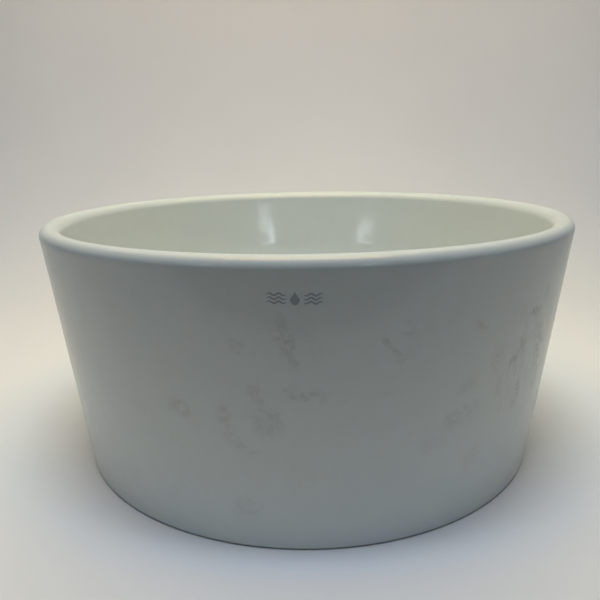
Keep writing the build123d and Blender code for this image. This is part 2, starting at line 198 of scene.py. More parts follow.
def turned(name, profile, segs, smooth_angle=35.0, radial=None):
    """Revolves an open chain of (r, z) in mm that starts and ends on the axis."""
    verts, faces = [], []
    verts.append((0.0, 0.0, profile[0][1] * MM))
    inner = profile[1:-1]
    for r, z in inner:
        for j in range(segs):
            a = 2 * math.pi * j / segs
            q, w = (r, z) if radial is None else radial(r, z, a)
            verts.append((q * math.cos(a) * MM, q * math.sin(a) * MM, w * MM))
    verts.append((0.0, 0.0, profile[-1][1] * MM))
    last = len(verts) - 1
    rows = len(inner)
    for j in range(segs):
        k = (j + 1) % segs
        faces.append((0, 1 + k, 1 + j))
        faces.append((last, 1 + (rows - 1) * segs + j, 1 + (rows - 1) * segs + k))
    for i in range(rows - 1):
        a, b = 1 + i * segs, 1 + (i + 1) * segs
        for j in range(segs):
            k = (j + 1) % segs
            faces.append((a + j, a + k, b + k, b + j))
    return new_mesh(name, verts, faces, smooth_angle)


def united(name, objs, smooth_angle=35.0):
    """One closed mesh from several that overlap."""
    base = objs[0]
    for o in objs[1:]:
        md = base.modifiers.new("union", "BOOLEAN")
        md.operation, md.solver, md.object = "UNION", "EXACT", o
    bpy.context.view_layer.update()
    dg = bpy.context.evaluated_depsgraph_get()
    me = bpy.data.meshes.new_from_object(base.evaluated_get(dg))
    for o in objs:
        old = o.data
        bpy.data.objects.remove(o)
        bpy.data.meshes.remove(old)
    me.name = name
    me.polygons.foreach_set("use_smooth", [True] * len(me.polygons))
    me.set_sharp_from_angle(angle=math.radians(smooth_angle))
    ob = bpy.data.objects.new(name, me)
    scene.collection.objects.link(ob)
    return ob


def soften(loop, rounds, n=4):
    """A closed polygon of (r, z) with the corners named in rounds turned into small arcs."""
    out = []
    for i, p in enumerate(loop):
        if i in rounds:
            out += rounded(loop[i - 1], p, loop[(i + 1) % len(loop)], rounds[i], n)
        else:
            out.append(p)
    return out


def crest(z, a, pitch):
    """1 on the crest of a right-hand thread and 0 in its root."""
    t = (z / pitch - a / (2 * math.pi)) % 1.0
    h = 1.0 - 2.0 * min(t, 1.0 - t)
    h = min(1.0, max(0.0, (h - 0.10) / 0.80))
    return 0.6 * h + 0.4 * h * h * (3 - 2 * h)


def ease(v, a, b):
    t = min(1.0, max(0.0, (v - a) / (b - a)))
    return t * t * (3 - 2 * t)


def hex_radius(a, af):
    m = (a + math.pi / 6) % (math.pi / 3) - math.pi / 6
    return af / 2 / math.cos(m)


# ------------------------------------------------------------------ material helpers
class Mat:
    def __init__(self, name):
        self.m = bpy.data.materials.new(name)
        self.m.use_nodes = True
        self.nt = self.m.node_tree
        self.nt.nodes.clear()
        self.out = self.node("ShaderNodeOutputMaterial")
        self.bsdf = self.node("ShaderNodeBsdfPrincipled")
        self.link(self.bsdf.outputs["BSDF"], self.out.inputs["Surface"])
        self.coord = self.node("ShaderNodeTexCoord").outputs["Object"]

    def node(self, kind, **props):
        n = self.nt.nodes.new(kind)
        for k, v in props.items():
            setattr(n, k, v)
        return n

    def link(self, a, b):
        self.nt.links.new(a, b)

    def put(self, sock, v):
        if isinstance(v, bpy.types.NodeSocket):
            self.link(v, sock)
        else:
            sock.default_value = v

    def math(self, op, a, b=None, c=None, clamp=False):
        n = self.node("ShaderNodeMath", operation=op, use_clamp=clamp)
        for i, v in enumerate((a, b, c)):
            if v is not None:
                self.put(n.inputs[i], v)
        return n.outputs[0]

    def vmath(self, op, a, b=None):
        n = self.node("ShaderNodeVectorMath", operation=op)
        self.put(n.inputs[0], a)
        if b is not None:
            self.put(n.inputs[1], b)
        return n.outputs["Value"] if op in ("LENGTH", "DOT_PRODUCT") else n.outputs["Vector"]

    def noise(self, scale, detail=2.0, rough=0.5, vec=None, distort=0.0, out="Fac"):
        n = self.node("ShaderNodeTexNoise")
        self.put(n.inputs["Vector"], self.coord if vec is None else vec)
        n.inputs["Scale"].default_value = scale
        n.inputs["Detail"].default_value = detail
        n.inputs["Roughness"].default_value = rough
        n.inputs["Distortion"].default_value = distort
        return n.outputs[out]

    def voronoi(self, scale, vec=None, feature="F1", rand=1.0, out="Distance"):
        n = self.node("ShaderNodeTexVoronoi", feature=feature)
        self.put(n.inputs["Vector"], self.coord if vec is None else vec)
        n.inputs["Scale"].default_value = scale
        n.inputs["Randomness"].default_value = rand
        return n.outputs[out]

    def remap(self, v, a, b, c=0.0, d=1.0, smooth=True):
        n = self.node("ShaderNodeMapRange", interpolation_type="SMOOTHSTEP" if smooth else "LINEAR")
        self.put(n.inputs["Value"], v)
        for i, x in zip(("From Min", "From Max", "To Min", "To Max"), (a, b, c, d)):
            self.put(n.inputs[i], x)
        return n.outputs["Result"]

    def mix(self, fac, a, b, blend="MIX"):
        n = self.node("ShaderNodeMix", data_type="RGBA", blend_type=blend, clamp_factor=True)
        self.put(n.inputs[0], fac)
        for i, v in ((6, a), (7, b)):
            self.put(n.inputs[i], v if isinstance(v, bpy.types.NodeSocket) else (*v, 1.0))
        return n.outputs[2]

    def xyz(self, vec=None):
        n = self.node("ShaderNodeSeparateXYZ")
        self.put(n.inputs[0], self.coord if vec is None else vec)
        return n.outputs[0], n.outputs[1], n.outputs[2]

    def join_xyz(self, x, y, z):
        n = self.node("ShaderNodeCombineXYZ")
        for i, v in enumerate((x, y, z)):
            self.put(n.inputs[i], v)
        return n.outputs[0]

    def bump(self, height, strength, distance, normal=None):
        n = self.node("ShaderNodeBump")
        self.put(n.inputs["Height"], height)
        n.inputs["Strength"].default_value = strength
        n.inputs["Distance"].default_value = distance
        if normal is not None:
            self.link(normal, n.inputs["Normal"])
        return n.outputs["Normal"]

    def set(self, **kw):
        for k, v in kw.items():
            self.put(self.bsdf.inputs[k.replace("_", " ")], v)


GLAZE = (0.625, 0.665, 0.643)
GLAZE_COOL = (0.605, 0.655, 0.652)

# scuffs and finger marks on the outside: (degrees round from the front, height mm, half width, half height, lean degrees, strength)
SCUFFS = [
    (-3.9, 144.0, 4.0, 7.0, 15, 0.55), (-3.5, 135.0, 5.0, 6.0, 20, 0.8), (-3.1, 130.5, 4.5, 4.5, 0, 1.0),
    (-2.3, 124.0, 3.5, 6.5, 25, 0.6), (-2.8, 107.5, 3.5, 3.5, 0, 0.5), (-1.2, 103.0, 7.0, 3.0, -8, 0.6),
    (1.2, 105.5, 5.0, 3.5, 0, 0.55), (2.6, 102.5, 3.5, 4.0, 25, 0.35), (-8.5, 106.5, 5.0, 6.5, -10, 0.6),
    (-7.4, 99.0, 3.5, 6.0, 30, 0.45), (-6.4, 87.0, 9.5, 11.0, 20, 0.55), (-13.9, 89.5, 4.5, 9.0, 5, 0.6),
    (-13.4, 78.0, 4.0, 7.0, 10, 0.45), (-12.2, 72.5, 6.5, 3.5, -30, 0.5), (-9.6, 67.0, 8.0, 1.8, -4, 0.3),
    (-22.0, 91.5, 8.0, 7.0, -25, 0.5), (-10.7, 132.5, 4.5, 4.0, -20, 0.4), (-11.6, 30.0, 11.0, 7.5, 0, 0.35),
    (12.1, 134.5, 2.0, 3.0, 20, 0.75), (13.5, 128.5, 1.8, 6.0, 38, 0.7), (15.0, 122.0, 3.5, 2.0, 20, 0.5),
    (15.7, 136.5, 4.5, 2.2, 12, 0.5), (16.4, 127.0, 6.0, 6.0, 0, 0.22), (29.3, 135.0, 6.5, 2.4, -25, 0.34),
    (45.0, 133.5, 8.0, 4.0, 0, 1.0), (48.3, 118.0, 7.5, 11.0, 10, 0.75), (50.0, 103.0, 7.0, 17.0, 5, 0.95),
    (51.8, 84.0, 6.0, 14.0, 0, 0.8), (42.2, 113.5, 5.5, 8.0, 20, 0.7), (40.2, 106.0, 6.5, 4.5, 25, 0.75),
    (43.4, 83.0, 3.6, 9.0, 10, 0.9), (42.6, 73.5, 4.5, 4.5, 0, 0.45), (34.8, 109.5, 6.0, 8.5, 0, 0.35),
    (36.6, 93.0, 5.0, 9.0, 10, 0.3), (27.8, 97.5, 8.0, 6.0, 35, 0.25), (26.2, 78.5, 8.5, 6.5, 15, 0.4),
    (29.7, 80.5, 9.0, 8.0, 0, 0.25), (21.6, 65.5, 8.0, 5.0, 10, 0.3), (31.7, 46.5, 8.0, 8.0, 0, 0.2),
    (48.4, 143.5, 4.0, 8.0, 5, 0.35), (56.5, 166.0, 3.5, 4.5, 20, 0.5), (57.5, 120.0, 4.0, 22.0, 0, 0.3),
    (92.0, 121.0, 7.0, 9.0, 15, 0.5), (96.5, 104.0, 5.0, 6.0, -20, 0.45), (128.0, 88.0, 8.0, 6.0, 10, 0.4),
    (171.0, 133.0, 5.0, 7.0, 20, 0.5), (176.0, 119.0, 6.0, 4.0, -15, 0.45), (-98.0, 112.0, 6.0, 8.0, -15, 0.5),
    (-104.0, 96.0, 4.0, 6.0, 10, 0.4), (-148.0, 128.0, 7.0, 5.0, 20, 0.4), (-61.0, 99.0, 5.0, 7.0, 15, 0.35),
]


def glaze(name, scuffs=False):
    m = Mat(name)
    cloud = m.noise(7.0, 3.0, 0.55)
    mottle = m.noise(85.0, 4.0, 0.6)
    fine = m.noise(420.0, 2.0, 0.5)
    base = m.mix(m.remap(cloud, 0.32, 0.68), GLAZE, GLAZE_COOL)
    base = m.mix(m.remap(mottle, 0.42, 0.75, 0.0, 0.22), base, (0.575, 0.615, 0.585))
    # tiny iron specks in the glaze
    speck = m.remap(m.voronoi(210.0), 0.05, 0.085, 1.0, 0.0)
    rare = m.remap(m.noise(160.0, 1.0, 0.5), 0.66, 0.72)
    base = m.mix(m.math("MULTIPLY", m.math("MULTIPLY", speck, rare), 0.35), base, (0.30, 0.27, 0.22))
    rough = m.remap(mottle, 0.3, 0.7, 0.47, 0.55)
    if scuffs:
        x, y, z = m.xyz()
        u = m.math("MULTIPLY", m.math("ARCTAN2", x, m.math("MULTIPLY", y, -1.0)), 0.190)
        warp = m.noise(150.0, 2.0, 0.6, out="Color")
        wx, wy, _ = m.xyz(warp)
        flat = m.join_xyz(
            m.math("ADD", u, m.math("MULTIPLY", m.math("SUBTRACT", wx, 0.5), 0.009)),
            m.math("ADD", z, m.math("MULTIPLY", m.math("SUBTRACT", wy, 0.5), 0.009)),
            0.0,
        )
        total = None
        for az, h, hw, hh, lean, s in SCUFFS:
            n = m.node("ShaderNodeMapping", vector_type="TEXTURE")
            m.link(flat, n.inputs["Vector"])
            n.inputs["Location"].default_value = (math.radians(az) * 0.190, h * MM, 0.0)
            n.inputs["Rotation"].default_value = (0.0, 0.0, math.radians(lean))
            n.inputs["Scale"].default_value = (1.35 * hw * MM, 1.35 * hh * MM, 1.0)
            one = m.remap(m.vmath("LENGTH", n.outputs[0]), 1.0, 0.25, 0.0, s * (1.0 if 25 < az < 60 else 0.70))
            total = one if total is None else m.math("MAXIMUM", total, one)
        ridges = m.node("ShaderNodeMapping", vector_type="POINT")
        m.link(flat, ridges.inputs["Vector"])
        ridges.inputs["Rotation"].default_value = (0.0, 0.0, 0.45)
        ridges.inputs["Scale"].default_value = (900.0, 260.0, 1.0)
        streak = m.noise(1.0, 3.0, 0.65, vec=ridges.outputs[0])
        patch = m.noise(260.0, 3.0, 0.7)
        broken = m.math("MULTIPLY", m.remap(streak, 0.30, 0.62, 0.35, 1.0), m.remap(patch, 0.36, 0.60, 0.25, 1.0))
        dirt = m.math("MULTIPLY", total, broken)
        # a faint film of handling marks all over
        film = m.math("MULTIPLY", m.remap(m.noise(34.0, 4.0, 0.65), 0.55, 0.78, 0.0, 0.16), m.remap(patch, 0.4, 0.6))
        dirt = m.math("MAXIMUM", dirt, film)
        # fine vertical streaks where it has been wiped, on the right-hand side
        combed = m.noise(1.0, 2.0, 0.6, vec=m.vmath("MULTIPLY", flat, (1300.0, 45.0, 1.0)))
        side = m.math("MULTIPLY", m.remap(u, 0.105, 0.135), m.remap(u, 0.205, 0.180))
        side = m.math("MULTIPLY", side, m.math("MULTIPLY", m.remap(z, 0.050, 0.085), m.remap(z, 0.150, 0.125)))
        dirt = m.math("MAXIMUM", dirt, m.math("MULTIPLY", m.remap(combed, 0.46, 0.70, 0.0, 0.52), side))
        # the bowl's inside is clean
        radius = m.vmath("LENGTH", m.join_xyz(x, y, 0.0))
        dirt = m.math("MULTIPLY", dirt, m.remap(m.math("SUBTRACT", radius, m.math("MULTIPLY", z, 0.107)), 0.176, 0.179))
        base = m.mix(m.math("MULTIPLY", dirt, 0.88), base, (0.300, 0.310, 0.290))
        rough = m.math("SUBTRACT", rough, m.math("MULTIPLY", dirt, 0.08))
    m.set(Base_Color=base, Roughness=rough, IOR=1.5)
    m.set(Coat_Weight=0.58, Coat_Roughness=0.12, Coat_IOR=1.5)
    n1 = m.bump(m.noise(55.0, 2.0, 0.5), 0.25, 0.00025)
    n2 = m.bump(m.math("ADD", m.math("MULTIPLY", fine, 0.6), m.math("MULTIPLY", m.noise(1500.0, 1.0, 0.5), 0.4)), 0.18, 0.00006, n1)
    m.set(Normal=n2)
    return m.m


def biscuit(name):
    """Unglazed fired body under a thin sprayed wash: the hollow base."""
    m = Mat(name)
    _, _, z = m.xyz()
    grain = m.noise(900.0, 3.0, 0.65)
    blot = m.noise(30.0, 4.0, 0.6)
    base = m.mix(m.remap(blot, 0.35, 0.65), (0.60, 0.585, 0.53), (0.66, 0.655, 0.60))
    base = m.mix(m.remap(grain, 0.45, 0.75, 0.0, 0.35), base, (0.47, 0.45, 0.40))
    # small dents in the body; their darker colour is painted shade inside the dents, and the same mask sinks them in
    # the bump
    pore_dent_and_shade = m.remap(m.voronoi(420.0), 0.06, 0.14, 1.0, 0.0)
    base = m.mix(m.math("MULTIPLY", pore_dent_and_shade, 0.35), base, (0.33, 0.31, 0.27))
    m.set(Base_Color=base, Roughness=m.remap(blot, 0.3, 0.7, 0.62, 0.82), IOR=1.5)
    m.set(Normal=m.bump(m.math("SUBTRACT", grain, m.math("MULTIPLY", pore_dent_and_shade, 0.5)), 0.5, 0.00018))
    return m.m


def foot_clay(name):
    """Bare ground foot ring with the marks of wiping and grinding."""
    m = Mat(name)
    x, y, z = m.xyz()
    radius = m.vmath("LENGTH", m.join_xyz(x, y, 0.0))
    rings = m.noise(1.0, 2.0, 0.6, vec=m.join_xyz(m.math("MULTIPLY", radius, 1400.0), m.math("MULTIPLY", m.math("ARCTAN2", x, y), 6.0), 0.0))
    grain = m.noise(1100.0, 3.0, 0.7)
    base = m.mix(m.remap(rings, 0.35, 0.65), (0.56, 0.53, 0.47), (0.68, 0.66, 0.60))
    base = m.mix(m.remap(grain, 0.5, 0.8, 0.0, 0.4), base, (0.42, 0.39, 0.33))
    m.set(Base_Color=base, Roughness=m.remap(grain, 0.3, 0.7, 0.78, 0.92))
    m.set(Normal=m.bump(m.math("ADD", rings, grain), 0.5, 0.00012))
    return m.m


def chrome(name):
    m = Mat(name)
    smear = m.noise(60.0, 4.0, 0.6)
    fine = m.noise(700.0, 2.0, 0.6)
    spots = m.remap(m.voronoi(230.0), 0.10, 0.22, 1.0, 0.0)
    rare = m.remap(m.noise(90.0, 2.0, 0.5), 0.56, 0.66)
    spot = m.math("MULTIPLY", spots, rare)
    base = m.mix(m.remap(smear, 0.3, 0.7), (0.76, 0.775, 0.79), (0.70, 0.715, 0.73))
    base = m.mix(m.math("MULTIPLY", spot, 0.5), base, (0.62, 0.63, 0.62))
    rough = m.math("ADD", m.remap(smear, 0.35, 0.75, 0.06, 0.15), m.math("MULTIPLY", spot, 0.22))
    m.set(Base_Color=base, Metallic=1.0, Roughness=rough)
    m.set(Normal=m.bump(fine, 0.12, 0.00003))
    return m.m


def turned_metal(name, light, dark, tarnish, rough_lo, rough_hi, pitch=5200.0):
    """Machined metal: fine turning lines round Z on walls and round the centre on faces, with some tarnish."""
    m = Mat(name)
    x, y, z = m.xyz()
    radius = m.vmath("LENGTH", m.join_xyz(x, y, 0.0))
    along = m.math("ADD", m.math("MULTIPLY", radius, pitch), m.math("MULTIPLY", z, pitch))
    lines = m.noise(1.0, 2.0, 0.6, vec=m.join_xyz(along, m.math("MULTIPLY", m.math("ARCTAN2", x, y), 2.0), 0.0))
    blot = m.noise(170.0, 4.0, 0.65)
    base = m.mix(m.remap(lines, 0.3, 0.7), light, dark)
    base = m.mix(m.remap(blot, 0.48, 0.75, 0.0, 0.55), base, tarnish)
    m.set(Base_Color=base, Metallic=1.0, Roughness=m.math("ADD", m.remap(lines, 0.3, 0.7, rough_lo, rough_hi), m.remap(blot, 0.5, 0.8, 0.0, 0.18)))
    m.set(Normal=m.bump(lines, 0.35, 0.00002))
    return m.m


def acetal(name):
    m = Mat(name)
    flow = m.noise(140.0, 3.0, 0.55, distort=0.6)
    grain = m.noise(1600.0, 2.0, 0.6)
    base = m.mix(m.remap(flow, 0.35, 0.65), (0.80, 0.79, 0.74), (0.86, 0.855, 0.81))
    m.set(Base_Color=base, Roughness=m.remap(grain, 0.3, 0.7, 0.36, 0.5), IOR=1.48)
    m.set(Normal=m.bump(grain, 0.3, 0.00003))
    return m.m


def silicone(name):
    m = Mat(name)
    cloud = m.noise(120.0, 3.0, 0.5)
    dust = m.remap(m.noise(1400.0, 2.0, 0.7), 0.56, 0.75)
    base = m.mix(m.remap(cloud, 0.3, 0.7), (0.60, 0.61, 0.60), (0.70, 0.71, 0.70))
    base = m.mix(m.math("MULTIPLY", dust, 0.25), base, (0.82, 0.81, 0.78))
    m.set(Base_Color=base, Roughness=m.remap(cloud, 0.3, 0.7, 0.38, 0.5), IOR=1.42)
    m.set(Normal=m.bump(m.noise(900.0, 2.0, 0.5), 0.25, 0.00003))
    return m.m


def rubber(name):
    m = Mat(name)
    bloom = m.noise(75.0, 4.0, 0.65)
    grain = m.noise(1800.0, 2.0, 0.65)
    base = m.mix(m.remap(bloom, 0.45, 0.75), (0.016, 0.016, 0.017), (0.050, 0.050, 0.050))
    m.set(Base_Color=base, Roughness=m.remap(bloom, 0.3, 0.7, 0.55, 0.78), IOR=1.5)
    m.set(Normal=m.bump(grain, 0.4, 0.00006))
    return m.m


def ink(name):
    m = Mat(name)
    wear = m.noise(1500.0, 3.0, 0.7)
    base = m.mix(m.remap(wear, 0.45, 0.72), (0.300, 0.335, 0.360), (0.38, 0.41, 0.425))
    m.set(Base_Color=base, Roughness=m.remap(wear, 0.3, 0.7, 0.42, 0.6), IOR=1.45)
    m.set(Normal=m.bump(wear, 0.2, 0.00002))
    return m.m


def give(ob, *mats):
    ob.data.materials.clear()
    for mt in mats:
        ob.data.materials.append(mt)


# ------------------------------------------------------------------ ceramic basin
def cast_wall(a, z):
    """How far the cast outside wall stands inside its true cone, mm: a slight unevenness."""
    w = noise.noise(Vector((math.cos(a) * 2.3, math.sin(a) * 2.3, z / 75.0)))
    return 0.16 * (w + 0.6) * min(1.0, max(0.0, z - 3) / 12.0) * min(1.0, max(0.0, (172.0 - z) / 10.0))


def build_basin():
    loop = basin_profile()
    segs = 320
    rows = len(loop)
    verts = np.zeros((rows, segs, 3))
    for i, (r, z, zone) in enumerate(loop):
        for j in range(segs):
            a = 2 * math.pi * j / segs
            q = r
            if zone == 0 and z > 3:
                q -= cast_wall(a, z)
            elif zone == 2 and r > 60:
                w = noise.noise(Vector((math.cos(a) * 2.0 + 7.0, math.sin(a) * 2.0, z / 60.0)))
                q += 0.22 * w * min(1.0, (r - 60) / 30.0) * min(1.0, max(0.0, (173.0 - z) / 12.0))
            elif zone == 3 and r > 60:
                w = noise.noise(Vector((math.cos(a) * r / 28.0, math.sin(a) * r / 28.0, 3.0)))
                q += 0.35 * w * min(1.0, (r - 60) / 30.0)
            verts[i, j] = (q * math.cos(a) * MM, q * math.sin(a) * MM, z * MM)
    faces = grid_faces(rows, segs, True)
    zones = [p[2] for p in loop]
    index = []
    for i in range(rows):
        a, b = zones[i], zones[(i + 1) % rows]
        z_mid = (loop[i][1] + loop[(i + 1) % rows][1]) / 2
        if a == 4 or b == 4 or (a == 0 and i < 12 and z_mid < 0.9):
            k = 2
        elif a == 3 and b == 3:
            k = 1
        else:
            k = 0
        index.extend([k] * segs)
    ob = new_mesh("ceramic_basin_shell", verts.reshape(-1, 3), faces, 40.0, index)
    give(ob, glaze("satin_glaze", scuffs=True), biscuit("washed_biscuit"), foot_clay("foot_clay"))
    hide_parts("ceramic_basin")
    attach(ob, "basin")
    return ob


build_basin()

# ------------------------------------------------------------------ materials
CHROME = chrome("chrome_plate")
BRASS = turned_metal("turned_brass", (0.74, 0.57, 0.30), (0.62, 0.46, 0.22), (0.34, 0.22, 0.10), 0.20, 0.34)
STEEL = turned_metal("turned_stainless", (0.66, 0.66, 0.655), (0.52, 0.52, 0.52), (0.42, 0.41, 0.39), 0.18, 0.32)
WIRE = turned_metal("drawn_wire", (0.62, 0.62, 0.61), (0.48, 0.48, 0.47), (0.36, 0.34, 0.31), 0.20, 0.36, 3000.0)
ACETAL = acetal("acetal")
SILICONE = silicone("silicone")
RUBBER = rubber("black_rubber")
CAP_GLAZE = glaze("cap_glaze")
INK = ink("printed_ink")


def stands_for(ob, node, mt, body):
    give(ob, mt)
    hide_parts(node)
    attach(ob, body)
    return ob


# ------------------------------------------------------------------ printed mark on the front
MARK_AZ, MARK_Z = -1.65, 158.7       # degrees round from the front, mm


def wall_r(z):
    """Radius of the true outside cone at height z, mm."""
    t = tangent_point(BASE_D / 2, 0.0, RIM_D / 2 - LIP_OUT_R, HEIGHT - LIP_OUT_R, LIP_OUT_R, +1)
    return BASE_D / 2 + (t[0] - BASE_D / 2) * z / t[1]


def on_wall(u, v, lift):
    """Point on the front wall: u mm to the right of the mark's middle, v mm above it, lift mm proud."""
    tilt = math.radians(-1.2)
    u, v = u * math.cos(tilt) - v * math.sin(tilt), u * math.sin(tilt) + v * math.cos(tilt)
    z = MARK_Z + v
    a = math.radians(-90 + MARK_AZ) + u / wall_r(MARK_Z)
    r = wall_r(z) - cast_wall(a, z) + lift
    return (r * math.cos(a) * MM, r * math.sin(a) * MM, z * MM)


def ribbon(path, widths):
    """Outline strips of a stroke: left and right edge points along a path of (u, v)."""
    rows = []
    for i, (p, w) in enumerate(zip(path, widths)):
        a = path[max(0, i - 1)]
        b = path[min(len(path) - 1, i + 1)]
        d = np.array([b[0] - a[0], b[1] - a[1]])
        n = np.array([-d[1], d[0]]) / np.linalg.norm(d)
        rows.append([(p[0] + n[0] * w * k, p[1] + n[1] * w * k) for k in (1.0, 0.5, 0.0, -0.5, -1.0)])
    return rows


def printed(rows_list, name):
    """Thin closed pads of ink that lie on the wall, from strips of (u, v) rows."""
    verts, faces = [], []
    for rows in rows_list:
        n, w = len(rows), len(rows[0])
        base = len(verts)
        for lift in (0.035, -0.05):
            for row in rows:
                for q in row:
                    verts.append(on_wall(q[0], q[1], lift))
        top = lambda i, j: base + i * w + j
        low = lambda i, j: base + n * w + i * w + j
        for i in range(n - 1):
            for j in range(w - 1):
                faces.append((top(i, j), top(i + 1, j), top(i + 1, j + 1), top(i, j + 1)))
                faces.append((low(i, j), low(i, j + 1), low(i + 1, j + 1), low(i + 1, j)))
            faces.append((top(i, 0), low(i, 0), low(i + 1, 0), top(i + 1, 0)))
            faces.append((top(i, w - 1), top(i + 1, w - 1), low(i + 1, w - 1), low(i, w - 1)))
        for j in range(w - 1):
            faces.append((top(0, j), top(0, j + 1), low(0, j + 1), low(0, j)))
            faces.append((top(n - 1, j), low(n - 1, j), low(n - 1, j + 1), top(n - 1, j + 1)))
    return new_mesh(name, verts, faces, 40.0)


def wave(u0, u1, v, amp, length, thick):
    """A tapered wave stroke; every stroke on one side shares its phase, so they stay parallel."""
    n = 44
    path, widths = [], []
    for i in range(n + 1):
        t = i / n
        u = u0 + (u1 - u0) * t
        path.append((u, v - amp * math.sin(2 * math.pi * (abs(u) - 4.4) / length)))
        widths.append(thick * max(0.15, math.sin(math.pi * t) ** 0.35))
    return ribbon(path, widths)


def drop_rows(cu, cv, w, h):
    """A filled water drop, as rows from its tip down."""
    rows = []
    n = 26
    for i in range(n + 1):
        t = 0.015 + 0.97 * i / n
        v = cv + h / 2 - h * t
        # pointed above, round below
        half = w / 2 * (math.sin(math.pi * t ** 1.25)) ** (1.0 if t < 0.5 else 0.62) * (0.55 + 0.45 * min(1.0, t / 0.6))
        rows.append([(cu + half * k, v) for k in (-1.0, -0.5, 0.0, 0.5, 1.0)])
    return rows


mark = printed(
    [
        drop_rows(0.0, 0.0, 5.0, 7.4),
        wave(-14.0, -4.4, 2.1, 0.60, 4.8, 0.50), wave(-14.0, -4.4, 0.0, 0.60, 4.8, 0.50), wave(-14.0, -4.4, -2.1, 0.60, 4.8, 0.50),
        wave(4.4, 14.0, 2.1, 0.60, 4.8, 0.50), wave(4.4, 14.0, 0.0, 0.60, 4.8, 0.50), wave(4.4, 14.0, -2.1, 0.60, 4.8, 0.50),
    ],
    "printed_drop_mark",
)
give(mark, INK)
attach(mark, "basin")

# ------------------------------------------------------------------ the waste's body, G 1 1/4
G_MAJOR, G_DEPTH, G_PITCH = 20.955, 1.479, 2.309
SHANK = 20.20


def tail_radius(z, a):
    r = G_MAJOR - G_DEPTH * (1.0 - crest(z, a, G_PITCH))
    r = min(r, 19.30 + 1.0 * (z - 6.0))            # lead chamfer
    return r + (SHANK - r) * ease(z, 47.4, 49.4)   # the thread runs out into the plain shank


def build_waste():
    loop = [(18.25, 6.0), (19.0, 6.0)]
    loop += run((19.0, 6.0), (19.3, 6.0), 2)
    rows = int((49.6 - 6.0) / (G_PITCH / 9))
    for i in range(rows + 1):
        loop.append((20.9, 6.0 + (49.6 - 6.0) * i / rows))
    loop += run((SHANK, 49.6), (SHANK, 61.0), 6)
    loop += arc((SHANK + 0.5, 61.0), (SHANK, 61.0), (SHANK + 0.5, 61.5), 4)
    loop += run((SHANK + 0.5, 61.5), (30.7, 61.5), 6)
    loop += arc((30.7, 61.8), (30.7, 61.5), (31.0, 61.8), 4)
    loop += [(31.0, 62.2)]
    loop += arc((29.6, 62.3), (31.0, 62.3), (29.6, 63.7), 10)
    loop += run((29.6, 63.7), (25.4, 63.7), 4)
    loop += rounded((29.6, 63.7), (24.0, 63.7), (19.15, 59.8), 2.2, 8)
    low = rounded((24.0, 63.7), (19.0, 59.6), (18.25, 57.6), 2.4, 6)
    loop += run(loop[-1], low[0], 4) + low
    loop += [(18.25, 57.6)] + run((18.25, 57.6), (18.25, 6.5), 14) + [(18.25, 6.4)]
    out = [loop[0]]
    for p in loop[1:]:
        if math.hypot(p[0] - out[-1][0], p[1] - out[-1][1]) > 1e-4:
            out.append(p)

    def shape(r, z, a):
        if r > 19.95 and 6.0 <= z <= 49.65 and abs(r - 20.9) < 0.01:
            return tail_radius(z, a), z
        return r, z

    tube = lathe("waste_tube", out, 144, 35.0, radial=shape)
    hub_loop = [(8.02, 41.6)]
    hub_loop += arc((8.62, 41.6), (8.02, 41.6), (8.62, 41.0), 3) + run((8.62, 41.0), (11.9, 41.0), 3)
    hub_loop += arc((11.9, 41.6), (11.9, 41.0), (12.5, 41.6), 5) + run((12.5, 41.6), (12.5, 49.4), 6)
    hub_loop += arc((11.9, 49.4), (12.5, 49.4), (11.9, 50.0), 5) + run((11.9, 50.0), (8.3, 50.0), 3) + [(8.3, 50.0), (8.02, 49.7)]
    hub_loop += run((8.02, 49.7), (8.02, 41.6), 8)
    hub = lathe("waste_hub", [p for i, p in enumerate(hub_loop) if math.dist(p, hub_loop[i - 1]) > 1e-4], 96, 35.0)
    parts = [tube, hub]
    for k in range(4):
        bm = bmesh.new()
        bmesh.ops.create_cube(bm, size=1.0)
        bmesh.ops.scale(bm, vec=Vector((6.6, 3.0, 7.0)) * MM, verts=bm.verts)
        long_edges = [e for e in bm.edges if abs((e.verts[0].co - e.verts[1].co).normalized().x) > 0.9]
        bmesh.ops.bevel(bm, geom=long_edges, offset=0.0011, segments=5, profile=0.5, affect="EDGES")
        a = math.radians(45 + 90 * k)
        bmesh.ops.translate(bm, vec=Vector((15.4, 0.0, 45.5)) * MM, verts=bm.verts)
        bmesh.ops.rotate(bm, cent=(0, 0, 0), matrix=Matrix.Rotation(a, 3, "Z"), verts=bm.verts)
        me = bpy.data.meshes.new("waste_arm")
        bm.to_mesh(me)
        bm.free()
        o = bpy.data.objects.new("waste_arm", me)
        scene.collection.objects.link(o)
        parts.append(o)
    return united("waste_body_cast", parts, 35.0)


stands_for(build_waste(), "waste_body", CHROME, "basin")


